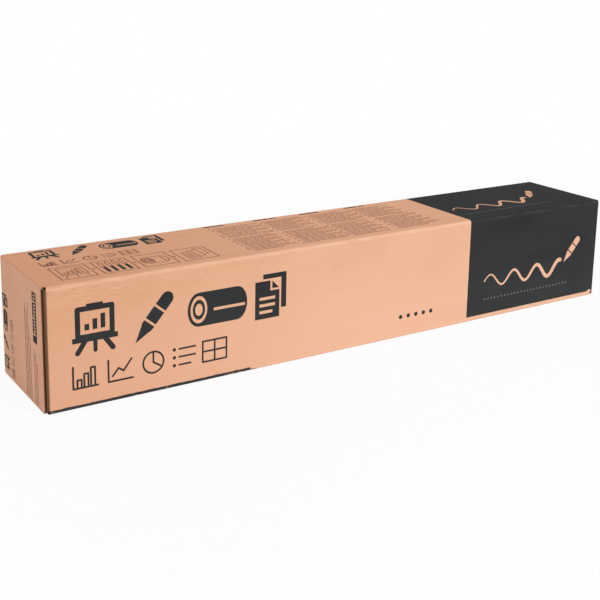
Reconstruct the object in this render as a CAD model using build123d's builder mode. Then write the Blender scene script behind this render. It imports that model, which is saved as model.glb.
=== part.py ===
from build123d import *
import math
import os

# A long, square shipping carton of corrugated board that opens at both ends, with the flipchart kit inside.
# Millimetres. +X runs along the carton, -Y is its front face, +Z is up. The origin is the middle of its base.

# ---- carton ----
box_length = 700.0
box_depth = 120.0
box_height = 120.0
board = 3.0  # thickness of the corrugated board
fold_radius = 2.0  # outer rounding of the four long folds
closing_gap = 0.3  # air between a closed end flap and what it covers
slot_width = 6.0  # slot between neighbouring flaps, half of it on each panel
slot_depth = 1.0  # how far a slot runs past the dust flaps' creases
table_clearance = 0.5  # free edge of the left end flap above the base
top_setback = 1.2  # free edge of the right end flap below the top
flap_corner = 2.0  # rounded free corners of the end flaps
dust_tip_gap = 12.0  # between the tips of the two closed dust flaps
dust_clearance = 1.0  # dust flap's edges clear of the panels above and below
dust_shoulder = 3.0  # straight stretch before the taper
dust_corner = 4.0
dust_skew = 4.0  # how much the far edge leans in towards the tip
dust_taper = 45.0  # degrees, on the side next to the end flap's crease
glue_tab_width = 32.0
glue_tab_setback = 20.0  # end of the tab to the carton's end plane
glue_tab_skew = 12.0

# ---- rolled flipchart paper ----
roll_end_gap = 25.0  # end of the roll to the carton's end plane
roll_bore = 40.0
roll_side_gap = 0.5  # roll to the glue tab behind it and to the broad markers in front
band_width = 40.0
band_thickness = 0.4
band_spacing = 400.0
rest_gap = 0.3  # a loose thing to what it lies on or against

# ---- markers: diameters and lengths along the axis ----
marker_length = 140.0
marker_diameter = 17.0
broad_diameter = 22.0
plug_length = 4.0
plug_stem = 5.0
cap_length = 48.0
neck_length = 18.0
neck_taper = 4.0
barrel_wall = 1.3
front_wall = 6.0
cap_wall = 1.4
cap_end_wall = 2.5
cap_fillet = 2.5
cap_clearance = 0.3
core_clearance = 0.3
fit_clearance = 0.05
nib_reach = 8.0  # nib standing out of the neck
nib_radius = 2.5
broad_nib_radius = 4.5
nib_fillet = 1.6
chisel_angle = 45.0
marker_end_gap = 15.0  # rear of a marker to the carton's end plane
neck_lead = 2.4  # how much the neck narrows over its taper

# ---- guide booklet ----
booklet_length = 148.0
booklet_headroom = 8.7  # booklet to the top panel
booklet_thickness = 6.0
cover_thickness = 0.5
page_inset = 1.0

# ---- worked out from the sizes above ----
half_length = box_length / 2
half_depth = box_depth / 2
fold_x = half_length - board - closing_gap  # creases of the dust flaps, and the raw ends
slot_end = fold_x - slot_depth
flap_width = box_depth - slot_width
dust_length = half_depth - dust_tip_gap / 2
glue_tab_face = half_depth - 2 * board
glue_tab_length = box_length - 2 * glue_tab_setback

booklet_y = -half_depth + board + rest_gap  # front of the booklet
booklet_z = board + rest_gap
booklet_height = box_height - board - booklet_headroom - booklet_z
broad_y = booklet_y + booklet_thickness + rest_gap + broad_diameter / 2
barrel_end = marker_length - cap_length  # shoulder that the cap closes against
marker_radius = marker_diameter / 2
front_row_y = -half_depth + board + rest_gap + marker_radius
back_row_y = front_row_y + marker_diameter + rest_gap

# The roll fills the depth that the broad markers and the glue tab leave. If the slim markers are so thick
# that its round underside would meet their back row, it is the smaller circle that just clears that row.
roll_length = box_length - 2 * roll_end_gap
roll_back = glue_tab_face - roll_side_gap
radius_at_broad = (roll_back - roll_side_gap - broad_diameter / 2 - broad_y) / 2
reach = roll_back - back_row_y
span = reach + marker_diameter + roll_side_gap
radius_at_slim = span - math.sqrt(span**2 - reach**2 - marker_radius**2 + (marker_radius + roll_side_gap) ** 2)
band_diameter = 2 * min(radius_at_broad, radius_at_slim)
roll_diameter = band_diameter - 2 * band_thickness
roll_y = roll_back - band_diameter / 2
roll_z = board + rest_gap + band_diameter / 2

os.makedirs("parts", exist_ok=True)


def save(part, name):
    part.label = name
    export_step(part, f"parts/{name}.step")


def cut_slots():
    """The slots at the ends of the four long folds, cut out of whichever panel is being made."""
    run = 2 * (half_length - slot_end)
    corners = [
        (sx * (slot_end + run / 2), sy * half_depth, z)
        for sx in (-1, 1)
        for sy in (-1, 1)
        for z in (0, box_height)
    ]
    with Locations(*corners):
        Box(run, slot_width, slot_width, mode=Mode.SUBTRACT)


def long_panel(wall, plane, ends):
    """A panel of the square tube: its mitred wall section along X, cut to its outline at the two ends."""
    with BuildPart() as panel:
        with BuildSketch(Plane.YZ.offset(-half_length)):
            with Locations((0, box_height / 2)):
                RectangleRounded(box_depth, box_height, fold_radius)
            with BuildLine():
                Polyline(*wall, close=True)
            make_face(mode=Mode.INTERSECT)
        extrude(amount=box_length)
        with BuildSketch(plane):
            with BuildLine():
                Polyline(*ends, close=True)
            make_face()
        extrude(amount=box_length, both=True, mode=Mode.INTERSECT)
        cut_slots()
    return panel.part


def side_wall(sign):
    """Section of the front (sign -1) or back (sign 1) panel, in Y and Z."""
    return [
        (sign * half_depth, 0),
        (sign * half_depth, box_height),
        (sign * (half_depth - board), box_height - board),
        (sign * (half_depth - board), board),
    ]


def side_ends(sign):
    """Plan of the front or back panel, mitred where the dust flaps fold from it."""
    return [
        (-fold_x, sign * half_depth),
        (fold_x, sign * half_depth),
        (fold_x - board, sign * (half_depth - board)),
        (-fold_x + board, sign * (half_depth - board)),
    ]


# ---- the four long panels ----
for name, sign in (("front_panel", -1), ("back_panel", 1)):
    save(long_panel(side_wall(sign), Plane.XY, side_ends(sign)), name)

top_wall = [
    (-half_depth, box_height),
    (half_depth, box_height),
    (half_depth - board, box_height - board),
    (-half_depth + board, box_height - board),
]
top_ends = [
    (-half_length, box_height),
    (fold_x, box_height),
    (fold_x, box_height - board),
    (-half_length + board, box_height - board),
]
save(long_panel(top_wall, Plane.XZ, top_ends), "top_panel")

bottom_wall = [
    (-half_depth, 0),
    (half_depth, 0),
    (half_depth - board, board),
    (-half_depth + board, board),
]
bottom_ends = [
    (-fold_x, 0),
    (half_length, 0),
    (half_length - board, board),
    (-fold_x, board),
]
save(long_panel(bottom_wall, Plane.XZ, bottom_ends), "bottom_panel")

# ---- glue tab: folded up from the bottom panel and stuck inside the back panel ----
with BuildPart() as glue_tab:
    with BuildSketch(Plane.XZ.offset(-glue_tab_face)):
        with BuildLine():
            Polyline(
                (-glue_tab_length / 2, board),
                (glue_tab_length / 2, board),
                (glue_tab_length / 2 - glue_tab_skew, board + glue_tab_width),
                (-glue_tab_length / 2 + glue_tab_skew, board + glue_tab_width),
                close=True,
            )
        make_face()
    extrude(amount=-board)
save(glue_tab.part, "glue_tab")

# ---- end flaps: the left one hangs from the top panel, the right one stands up from the bottom panel ----
with BuildPart() as left_end_flap:
    with BuildSketch(Plane.XZ):
        with BuildLine():
            Polyline(
                (-half_length, table_clearance),
                (-half_length, box_height),
                (-half_length + board, box_height - board),
                (-half_length + board, table_clearance),
                close=True,
            )
        make_face()
    extrude(amount=flap_width / 2, both=True)
    fillet(left_end_flap.edges().filter_by(Axis.X).group_by(Axis.Z)[0], radius=flap_corner)
save(left_end_flap.part, "left_end_flap")

with BuildPart() as right_end_flap:
    with BuildSketch(Plane.XZ):
        with BuildLine():
            Polyline(
                (half_length, 0),
                (half_length, box_height - top_setback),
                (half_length - board, box_height - top_setback),
                (half_length - board, board),
                close=True,
            )
        make_face()
    extrude(amount=flap_width / 2, both=True)
    fillet(right_end_flap.edges().filter_by(Axis.X).group_by(Axis.Z)[-1], radius=flap_corner)
save(right_end_flap.part, "right_end_flap")


# ---- dust flaps: folded in from the front and back panels, behind the end flaps ----
def dust_flap(end, side):
    """end is -1 at the left and 1 at the right; side is -1 at the front and 1 at the back."""
    crease_y = side * half_depth
    inner_y = side * (half_depth - board)
    tip_y = side * (half_depth - dust_length)
    shoulder_y = side * (half_depth - dust_shoulder)
    low = board + dust_clearance
    high = box_height - board - dust_clearance
    fall = (dust_length - dust_shoulder) * math.tan(math.radians(dust_taper))
    outline = [
        (crease_y, low),
        (crease_y, high),
        (shoulder_y, high),
        (tip_y, high - fall),
        (tip_y, low + dust_skew),
    ]
    if end > 0:  # the right end flap folds up from the base, so the taper is below
        outline = [(y, low + high - z) for y, z in outline]
    with BuildPart() as flap:
        with BuildSketch(Plane.XY.offset(low)):
            with BuildLine():
                Polyline(
                    (end * fold_x, crease_y),
                    (end * (fold_x - board), inner_y),
                    (end * (fold_x - board), tip_y),
                    (end * fold_x, tip_y),
                    close=True,
                )
            make_face()
        extrude(amount=high - low)
        with BuildSketch(Plane.YZ):
            with BuildLine():
                Polyline(*outline, close=True)
            make_face()
        extrude(amount=end * half_length, mode=Mode.INTERSECT)
        tip_edges = flap.edges().filter_by(Axis.X).group_by(Axis.Y)[0 if side > 0 else -1]
        fillet(tip_edges, radius=dust_corner)
    return flap.part


for end_name, end in (("left", -1), ("right", 1)):
    for side_name, side in (("front", -1), ("back", 1)):
        save(dust_flap(end, side), f"{end_name}_{side_name}_dust_flap")

# ---- rolled flipchart paper and its two paper bands ----
with BuildPart() as paper_roll:
    with BuildSketch(Plane.YZ.offset(-roll_length / 2)):
        with Locations((roll_y, roll_z)):
            Circle(roll_diameter / 2)
            Circle(roll_bore / 2, mode=Mode.SUBTRACT)
    extrude(amount=roll_length)
save(paper_roll.part, "paper_roll")

for band_name, band_x in (("left", -band_spacing / 2), ("right", band_spacing / 2)):
    with BuildPart() as roll_band:
        with BuildSketch(Plane.YZ.offset(band_x - band_width / 2)):
            with Locations((roll_y, roll_z)):
                Circle(band_diameter / 2)
                Circle(roll_diameter / 2, mode=Mode.SUBTRACT)
        extrude(amount=band_width)
    save(roll_band.part, f"{band_name}_roll_band")


# ---- markers ----
def turned(plane, outline):
    """A solid of revolution about the plane's X direction. The outline is (distance along, radius)."""
    with BuildPart() as solid:
        with BuildSketch(plane):
            with BuildLine():
                Polyline(*outline, close=True)
            make_face()
        revolve(axis=Axis(plane.origin, plane.x_dir))
    return solid.part


def marker(name, diameter, nib_r, chisel, x, y, z, direction):
    """A capped marker whose rear end is at (x, y, z) and whose cap points along X in the given direction."""
    plane = Plane(origin=(x, y, z), x_dir=(direction, 0, 0), z_dir=(0, -direction, 0))
    outer = diameter / 2
    bore = outer - barrel_wall
    cap_bore = outer - cap_wall
    neck = cap_bore - cap_clearance
    neck_end = barrel_end + neck_length
    front = neck_end + neck_taper
    bore_end = barrel_end - front_wall
    nib_bore = nib_r + fit_clearance
    nib_tip = front + nib_reach
    barrel_outline = [
        (plug_length, bore),
        (plug_length, outer),
        (barrel_end, outer),
        (barrel_end, neck),
        (neck_end, neck),
        (front, neck - neck_lead),
        (front, nib_bore),
        (bore_end, nib_bore),
        (bore_end, bore),
    ]
    save(turned(plane, barrel_outline), f"{name}_barrel")

    plug_outline = [
        (0, 0),
        (0, outer),
        (plug_length, outer),
        (plug_length, bore - fit_clearance),
        (plug_length + plug_stem, bore - fit_clearance),
        (plug_length + plug_stem, 0),
    ]
    save(turned(plane, plug_outline), f"{name}_end_plug")

    core_radius = bore - core_clearance
    core_outline = [
        (plug_length + plug_stem, 0),
        (plug_length + plug_stem, core_radius),
        (bore_end, core_radius),
        (bore_end, 0),
    ]
    save(turned(plane, core_outline), f"{name}_ink_core")

    with BuildPart() as nib:
        with BuildSketch(plane):
            with BuildLine():
                Polyline((bore_end, 0), (bore_end, nib_r), (nib_tip, nib_r), (nib_tip, 0), close=True)
            make_face()
        revolve(axis=Axis(plane.origin, plane.x_dir))
        if chisel:
            slope = math.tan(math.radians(chisel_angle))
            with BuildSketch(plane):
                with BuildLine():
                    Polyline(
                        (nib_tip, -nib_r),
                        (nib_tip, nib_r),
                        (nib_tip - 2 * nib_r / slope, nib_r),
                        close=True,
                    )
                make_face()
            extrude(amount=diameter, both=True, mode=Mode.SUBTRACT)
        else:
            fillet(nib.edges().sort_by_distance(plane.origin)[-1], radius=nib_fillet)
    save(nib.part, f"{name}_nib")

    with BuildPart() as cap:
        with BuildSketch(plane):
            with BuildLine():
                Polyline(
                    (barrel_end, cap_bore),
                    (barrel_end, outer),
                    (marker_length, outer),
                    (marker_length, 0),
                    (marker_length - cap_end_wall, 0),
                    (marker_length - cap_end_wall, cap_bore),
                    close=True,
                )
            make_face()
        revolve(axis=Axis(plane.origin, plane.x_dir))
        fillet(cap.edges().sort_by_distance(plane.origin)[-1], radius=cap_fillet)
    save(cap.part, f"{name}_cap")


marker_x = half_length - marker_end_gap
marker_z = board + rest_gap + marker_radius
for ink, end, row_y in (
    ("black", -1, front_row_y),
    ("red", -1, back_row_y),
    ("blue", 1, front_row_y),
    ("green", 1, back_row_y),
):
    marker(f"{ink}_marker", marker_diameter, nib_radius, False, end * marker_x, row_y, marker_z, -end)

# ---- guide booklet, standing on its spine against the front panel ----
with BuildPart() as booklet_cover:
    with BuildSketch(Plane.YZ.offset(-booklet_length / 2)):
        with Locations((booklet_y, booklet_z)):
            Rectangle(booklet_thickness, booklet_height, align=(Align.MIN, Align.MIN))
        with Locations((booklet_y + cover_thickness, booklet_z + cover_thickness)):
            Rectangle(
                booklet_thickness - 2 * cover_thickness,
                booklet_height,
                align=(Align.MIN, Align.MIN),
                mode=Mode.SUBTRACT,
            )
    extrude(amount=booklet_length)
save(booklet_cover.part, "booklet_cover")

with BuildPart() as booklet_pages:
    with BuildSketch(Plane.YZ.offset(-booklet_length / 2 + page_inset)):
        with Locations((booklet_y + cover_thickness, booklet_z + cover_thickness)):
            Rectangle(
                booklet_thickness - 2 * cover_thickness,
                booklet_height - cover_thickness - page_inset,
                align=(Align.MIN, Align.MIN),
            )
    extrude(amount=booklet_length - 2 * page_inset)
save(booklet_pages.part, "booklet_pages")

# ---- two broad markers, one on the other, between the booklet and the roll ----
broad_z = board + rest_gap + broad_diameter / 2
for ink, layer in (("black", 0), ("red", 1)):
    layer_z = broad_z + layer * (broad_diameter + rest_gap)
    marker(
        f"broad_{ink}_marker",
        broad_diameter,
        broad_nib_radius,
        True,
        -marker_length / 2,
        broad_y,
        layer_z,
        1,
    )
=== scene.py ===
"""Sizes are in millimetres, and MM turns them into metres. The carton is one blank of board, laid out with its
print in blank coordinates: x runs along the carton and on over the flaps, and a runs round the tube, up the
back from 0, over the top, down the front and under the base.
"""
from functools import cached_property, partial
from math import acos, copysign, cos, hypot, pi, radians, sin, sqrt, tan, tau
from random import Random

import bpy
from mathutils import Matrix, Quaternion, Vector
from mathutils.geometry import delaunay_2d_cdt

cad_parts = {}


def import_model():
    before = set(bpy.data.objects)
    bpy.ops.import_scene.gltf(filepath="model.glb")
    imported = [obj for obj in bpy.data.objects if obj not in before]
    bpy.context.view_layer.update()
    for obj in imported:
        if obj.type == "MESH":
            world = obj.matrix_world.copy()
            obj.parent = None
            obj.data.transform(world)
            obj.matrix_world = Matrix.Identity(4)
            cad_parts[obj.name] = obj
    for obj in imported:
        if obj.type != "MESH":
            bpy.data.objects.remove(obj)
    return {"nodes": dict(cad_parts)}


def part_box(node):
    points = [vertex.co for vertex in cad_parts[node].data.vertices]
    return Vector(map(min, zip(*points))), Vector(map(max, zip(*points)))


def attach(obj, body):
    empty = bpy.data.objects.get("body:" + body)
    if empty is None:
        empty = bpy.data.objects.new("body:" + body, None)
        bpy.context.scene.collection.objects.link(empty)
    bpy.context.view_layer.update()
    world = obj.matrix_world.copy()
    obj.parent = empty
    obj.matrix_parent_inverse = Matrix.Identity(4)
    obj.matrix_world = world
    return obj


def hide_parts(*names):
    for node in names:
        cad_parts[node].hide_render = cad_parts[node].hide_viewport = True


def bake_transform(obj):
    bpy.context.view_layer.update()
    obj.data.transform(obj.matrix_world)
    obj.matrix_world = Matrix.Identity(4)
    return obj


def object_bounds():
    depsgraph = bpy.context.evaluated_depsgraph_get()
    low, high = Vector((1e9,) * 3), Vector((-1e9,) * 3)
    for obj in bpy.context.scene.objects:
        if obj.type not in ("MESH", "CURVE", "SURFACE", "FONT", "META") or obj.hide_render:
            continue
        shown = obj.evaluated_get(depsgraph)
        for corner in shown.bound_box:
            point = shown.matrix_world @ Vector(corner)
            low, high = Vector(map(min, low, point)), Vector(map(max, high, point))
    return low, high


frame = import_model()
cad_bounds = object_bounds()

MM = 0.001


def box_mm(node):
    """Lowest and highest corner of a CAD node."""
    return [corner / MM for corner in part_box(node)]


def sign(x):
    return copysign(1, x)


# ---- the carton, from the CAD frame ----
END, SIDE, TOP = cad_bounds[1] / MM  # outer faces of the end flaps, the sides and the lid
DEPTH = 2 * SIDE
FOLD = box_mm("front_panel")[1].x  # creases of the dust flaps, and the raw ends
FLAP_LOW, FLAP_HIGH = box_mm("left_end_flap")
BOARD = FLAP_HIGH.x - FLAP_LOW.x
LEFT_REACH = TOP - FLAP_LOW.z  # crease to free edge
RIGHT_REACH = box_mm("right_end_flap")[1].z
DUST_TIP = SIDE + box_mm("left_front_dust_flap")[1].y  # crease to tip
TAB_LOW, TAB_HIGH = box_mm("glue_tab")

# ---- outlines of the blank ----
SLOT_HALF = SIDE - FLAP_HIGH.y
SLOT_END = FOLD - 1.0
FLAP_CORNER = 2.0
DUST_SIDE = BOARD + 1.0  # a dust flap's sides, from the lid's and the base's faces
DUST_CORNER = 4.0
DUST_SHOULDER = 3.0
DUST_SKEW = 4.0
TAB_SKEW = 12.0
GLUE = 0.02  # between the tab and the back panel

# ---- the board's layers ----
FOLD_RADIUS = 3.0  # round the long folds
CREASE_RADIUS = 2.0  # round the flaps' creases
ARC_STEPS = 5
SHARP_ANGLE = radians(40)
LINER = 0.35  # paper on each face of the board
LINER_LAP = 0.3  # of two panels' inner liners in a corner
LIP_START = 0.42  # of the crease's radius
LIP_AIR = 0.1  # its foot to the board's inner face
FLUTE_PITCH = 6.4
FLUTE_STEPS = 12  # in one wave
FLUTE_PAPER = 0.28
FLUTE_AIR = 0.02  # to the liner that bends round a crease
FLUTE_INSET = 0.2  # behind a raw end or a slot's side
SIDE_INSET = 0.5  # behind a flap's sides
CORE_OUTSIDE = [(1.25, 1.25), (2.0, 0.65), (3.2, 0.45)]  # under a long fold: distance from its corner, depth
CORE_INSIDE = 0.4  # core to the board's inner face

SHEET_GAP = 0.9  # between the lines of painted shade in the gaps on sheets' edges
ROLL_TURNS = 40  # sheets that show at the roll's ends
SHEET_SLIP = 0.5  # how unevenly they stand
ROLL_STATIONS = 72  # round the roll
FREE_EDGE = 0.35  # step where the outermost sheet ends
FREE_EDGE_RAMP = 0.15  # width of that step
FREE_EDGE_TURN = radians(150)
RING_PLACE = 26.0  # printed rings on a barrel, from its rear

# ---- the print ----
BLOCK_START = 143.0  # the dark block's left end
BLOCK_FOOT = 5.8  # bare strip under it on the front
BLOCK_PAST = 3.0  # block over a dust flap
OVERRUN = 4.1  # the base's block up the front
FOLD_HIGHLIGHT_LINE = 1.6  # fold to the middle of its painted highlight and wear

# ---- camera, light and floor ----
CAMERA_AT = (-0.6429, -0.9284, 0.4150)
CAMERA_TURNS = (-32.73, 12.33, 1.05)  # azimuth, elevation and roll
CAMERA_LENS, CAMERA_SHIFT = 64.25, -0.2
WORLD_LIGHT = 0.43
FLOOR_HALF = 6
FLOOR_DROP = 0.0002  # keeps the floor clear of the base

# ---- the board's material slots ----
KRAFT, INK, FINE, PALE, INNER, FLUTE, CUT, LIP = range(8)


# ==== the blank, folded ====

def rounded(t, depth, radius):
    """A fold's section at t from its sharp corner: the distance from it, depth below the face, and turn."""
    if t >= radius or depth >= radius:
        return max(t, depth), depth, 0.0
    turn = (1 - t / radius) * pi / 4
    return radius - (radius - depth) * sin(turn), radius - (radius - depth) * cos(turn), turn


class Panel:
    """A long panel, from start to stop in a."""

    def __init__(self, start, length, corner, run, out):
        self.start, self.length, self.stop = start, length, start + length
        self.corner, self.run, self.out = (Vector((0, *v)) for v in (corner, run, out))

    def between(self, inset):
        """The panel's start and stop, moved inward."""
        return [self.start + inset, self.stop - inset]

    def at(self, x, along, depth):
        return Vector((x, 0, 0)) + self.corner + self.run * along - self.out * depth

    def flat(self, x, a, depth):
        """Point and outward direction, for layers that aren't rounded."""
        return self.at(x, a - self.start, depth), self.out

    def face(self, x, a, depth):
        """The same on the outer liner, rounded at both folds."""
        s = a - self.start
        toward = -1 if s < self.length / 2 else 1
        along, deep, turn = rounded(min(s, self.length - s), depth, FOLD_RADIUS)
        s = along if toward < 0 else self.length - along
        return self.at(x, s, deep), self.out * cos(turn) + self.run * toward * sin(turn)

    def flap(self, crease):
        """The same for a flap folded in at x = crease."""
        end = sign(crease)

        def place(x, a, depth):
            past = abs(x) - abs(crease)
            return self.at(end * (abs(crease) - depth), a - self.start, past), Vector((end, 0, 0))
        return place


BACK = Panel(0, TOP, (SIDE, 0), (0, 1), (1, 0))
LID = Panel(TOP, DEPTH, (SIDE, TOP), (-1, 0), (0, 1))
FRONT = Panel(TOP + DEPTH, TOP, (-SIDE, TOP), (0, -1), (-1, 0))
BASE = Panel(2 * TOP + DEPTH, DEPTH, (-SIDE, 0), (1, 0), (0, -1))


# ==== mesh building ====

class Piece:
    """Collects closed shells, then makes one object of them."""

    def __init__(self):
        self.points, self.faces, self.slots, self.normals, self.blank = [], [], [], [], []

    def shell(self, points, faces, slots, blank, normals=None):
        """Adds a closed shell, with its faces turned outward. blank has each point's x and a."""
        volume = sum(points[face[0]].dot(points[face[i]].cross(points[face[i + 1]]))
                     for face in faces for i in range(1, len(face) - 1))
        base = len(self.points)
        self.points += points
        for number, face in enumerate(faces):
            corners = list(range(len(face)))
            if volume < 0:
                corners.reverse()
            p = [points[face[c]] for c in corners]
            flat = sum((q.cross(r) for q, r in around(p)), Vector()).normalized()
            given = normals[number] if normals else None
            self.faces.append([base + face[c] for c in corners])
            self.slots.append(slots[number])
            self.normals += [given[c] if given else flat for c in corners]
            self.blank += [blank[face[c]] for c in corners]

    def finished(self, name, materials, own_normals=True):
        """The object, shaded by its own normals or, without them, smooth between sharp edges."""
        mesh = bpy.data.meshes.new(name)
        mesh.from_pydata([p * MM for p in self.points], [], self.faces)
        for m in materials:
            mesh.materials.append(m)
        mesh.polygons.foreach_set("material_index", self.slots)
        mesh.polygons.foreach_set("use_smooth", [True] * len(self.faces))
        layer = mesh.uv_layers.new(name="blank")
        layer.data.foreach_set("uv", [c * MM for pair in self.blank for c in pair])
        if own_normals:
            mesh.normals_split_custom_set(self.normals)
        else:
            mesh.set_sharp_from_angle(angle=SHARP_ANGLE)
        mesh.update()
        return linked(name, mesh)


def linked(name, data):
    made = bpy.data.objects.new(name, data)
    bpy.context.scene.collection.objects.link(made)
    return made


def around(loop):
    """Each item of a closed loop, with the next one."""
    return zip(loop, loop[1:] + loop[:1])


def anticlockwise(loop):
    area = sum(x0 * a1 - x1 * a0 for (x0, a0), (x1, a1) in around(loop))
    return loop if area > 0 else loop[::-1]


def slab(piece, outline, place, depths, slots, prints=(), lines=()):
    """A closed sheet of paper between two depths, its outer face divided by the print and the lines.

    slots are the materials of the outer face, the inner face and the rim. Later prints cover earlier ones.
    """
    points, loops, edges = [], [], []
    for loop in map(anticlockwise, [outline] + [shape for shape, _ in prints]):
        loops.append(list(range(len(points), len(points) + len(loop))))
        points += loop
    for line in lines:
        edges.append((len(points), len(points) + 1))
        points += line
    flat, _, triangles, _, _, owners = delaunay_2d_cdt(  # 1: only triangles inside the loops
        [Vector(p) for p in points], edges, loops, 1, 1e-4, True)
    kept = [(list(t), max(o)) for t, o in zip(triangles, owners) if 0 in o]
    used = sorted({i for t, _ in kept for i in t})
    number = {old: new for new, old in enumerate(used)}
    count = len(used)
    placed = [place(*flat[i], depth) for depth in depths for i in used]
    blank = [tuple(flat[i]) for i in used] * 2
    faces, colours, normals, sides = [], [], [], []
    for triangle, owner in kept:
        t = [number[i] for i in triangle]
        faces += [[t[0], t[2], t[1]], [count + i for i in t]]
        colours += [slots[0] if owner == 0 else prints[owner - 1][1], slots[1]]
        normals += [[placed[i][1] for i in faces[-2]], [-placed[i][1] for i in faces[-1]]]
        sides += around(t)
    paired = set(sides)
    for i, j in sides:
        if (j, i) not in paired:  # the sheet's rim
            faces.append([i, j, count + j, count + i])
            colours.append(slots[2])
            normals.append(None)
    piece.shell([p for p, _ in placed], faces, colours, blank, normals)


def prism(piece, section, stations, place, slots):
    """A closed bar: the section, a loop of (t, depth), at each station. slots has each stretch's material."""
    n = len(section)
    placed = [place(t, depth, v) for v in stations for t, depth in section]
    faces, colours = [], []
    for k in range(len(stations) - 1):
        for i, j in around(list(range(n))):
            faces.append([k * n + i, k * n + j, (k + 1) * n + j, (k + 1) * n + i])
            colours.append(slots[k])
    last = (len(stations) - 1) * n
    faces += [list(range(n)), [last + i for i in range(n)][::-1]]
    colours += [colours[0], colours[-1]]
    piece.shell([p for p, _ in placed], faces, colours, [b for _, b in placed])


def span_at(outline, a):
    """Lowest and highest x of the outline at a."""
    crossings = [x0 + (x1 - x0) * (a - a0) / (a1 - a0) for (x0, a0), (x1, a1) in around(outline)
                 if min(a0, a1) <= a <= max(a0, a1) and a0 != a1]
    return min(crossings), max(crossings)


def fluting(piece, outline, place, creases, inset):
    """The wavy middle paper. creases are x of those at its low and high ends, or None at a raw end."""
    low, high = min(a for _, a in outline), max(a for _, a in outline)
    middle = BOARD / 2
    swing = middle - LINER - FLUTE_PAPER / 2
    step = FLUTE_PITCH / FLUTE_STEPS
    count = int((high - low - 2 * inset) / step)
    placed, blank = [], []
    for k in range(count + 1):
        a = low + inset + k * step
        wave = middle - swing * cos(tau * a / FLUTE_PITCH)
        for depth in (wave - FLUTE_PAPER / 2, wave + FLUTE_PAPER / 2):
            for x in flute_ends(*creases, *span_at(outline, a), depth):
                placed.append(place(x, a, depth)[0])
                blank.append((x, a))
    faces = []
    for b in range(0, 4 * count, 4):
        c = b + 4
        faces += [[b, c, c + 1, b + 1], [b + 2, b + 3, c + 3, c + 2]]
        faces += [[b + 1, c + 1, c + 3, b + 3], [c, b, b + 2, c + 2]]
    last = 4 * count
    faces += [[0, 1, 3, 2], [last + 1, last, last + 2, last + 3]]
    piece.shell(placed, faces, [FLUTE] * len(faces), blank)


# ==== outlines of the blank's parts ====

def panel_end(reach, hinge=None):
    """Half of a panel's end, as (x, distance from the fold): half a slot, then on to reach.

    hinge is where the crease strip begins, for which the outer liner stops short.
    """
    turns = [pi / 2 * k / ARC_STEPS for k in range(ARC_STEPS + 1)]
    half = [(SLOT_END + SLOT_HALF * (1 - cos(turn)), SLOT_HALF * sin(turn)) for turn in turns]
    half = [(x, s) for x, s in half if x < reach]
    half.append((reach, SLOT_HALF * sin(acos(max(0.0, 1 - (reach - SLOT_END) / SLOT_HALF)))))
    if hinge:
        half += [(reach, hinge), (reach - CREASE_RADIUS, hinge)]
    return half


def panel_outline(panel, left, right):
    """The whole outline, from the half ends at the left and at the right."""
    outline = []
    for way, half in ((1, right), (-1, left)):
        end = [(way * x, panel.start + s) for x, s in half]
        end += [(way * x, panel.stop - s) for x, s in reversed(half)]
        outline += end[::way]
    return outline


def softened(points, corners, radius):
    """The outline, with the corners of these numbers rounded."""
    outline = []
    for number, point in enumerate(points):
        if number not in corners:
            outline.append(point)
            continue
        p, c, q = map(Vector, (points[number - 1], point, points[(number + 1) % len(points)]))
        u, v = (p - c).normalized(), (q - c).normalized()
        half = acos(max(-1.0, min(1.0, u.dot(v)))) / 2
        centre = c + (u + v).normalized() * (radius / sin(half))
        first, last = (c + way * (radius / tan(half)) - centre for way in (u, v))
        sweep = first.angle_signed(last)
        for k in range(ARC_STEPS + 1):
            turn = -sweep * k / ARC_STEPS
            outline.append((centre.x + first.x * cos(turn) - first.y * sin(turn),
                            centre.y + first.x * sin(turn) + first.y * cos(turn)))
    return outline


def end_flap_outline(panel, crease, reach, start):
    """An end flap, from start past its crease."""
    low, high = panel.between(SLOT_HALF)
    near, far = crease + sign(crease) * start, crease + sign(crease) * reach
    return softened(rect(near, low, far, high), (1, 2), FLAP_CORNER)


def dust_flap_outline(panel, crease, start):
    """A dust flap: shoulder, 45 degree taper towards the end flap's crease, and skewed far side."""
    low, high = DUST_SIDE, TOP - DUST_SIDE
    heights = [(start, low), (start, high), (DUST_SHOULDER, high),
               (DUST_TIP, high - (DUST_TIP - DUST_SHOULDER)), (DUST_TIP, low + DUST_SKEW)]
    if start > CREASE_RADIUS:  # the inner liner starts where the shoulder ends
        heights.pop(2)
    if crease > 0:  # the right end flap's crease is at the base
        heights = [(t, low + high - z) for t, z in heights]
    points = [(crease + sign(crease) * t, panel.start + (TOP - z if panel is FRONT else z))
              for t, z in heights]
    return softened(points, (len(points) - 2, len(points) - 1), DUST_CORNER)


# ==== the print: shapes as (outline, material), in u and v until they are laid on the blank ====

def rect(u0, v0, u1, v1):
    return [(u0, v0), (u1, v0), (u1, v1), (u0, v1)]


def bar(u0, v0, u1, v1, colour=INK):
    return [(rect(u0, v0, u1, v1), colour)]


def disc(u, v, ru, rv=None, count=20):
    rv = rv or ru
    return [(u + ru * cos(tau * k / count), v + rv * sin(tau * k / count)) for k in range(count)]


def stroke(points, width, colour=INK):
    """A pen line: a bar for each run, and a round joint at each point."""
    shapes = []
    for (u0, v0), (u1, v1) in zip(points, points[1:]):
        length = hypot(u1 - u0, v1 - v0)
        p, q = (v0 - v1) / length * width / 2, (u1 - u0) / length * width / 2
        shapes.append(([(u0 - p, v0 - q), (u1 - p, v1 - q), (u1 + p, v1 + q), (u0 + p, v0 + q)], colour))
    return shapes + [(disc(u, v, width / 2, count=12), colour) for u, v in points]


def drawn(loop, width, colour=INK):
    """A closed loop in pen lines, bare inside."""
    return [(loop, KRAFT)] + stroke(loop + loop[:1], width, colour)


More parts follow.
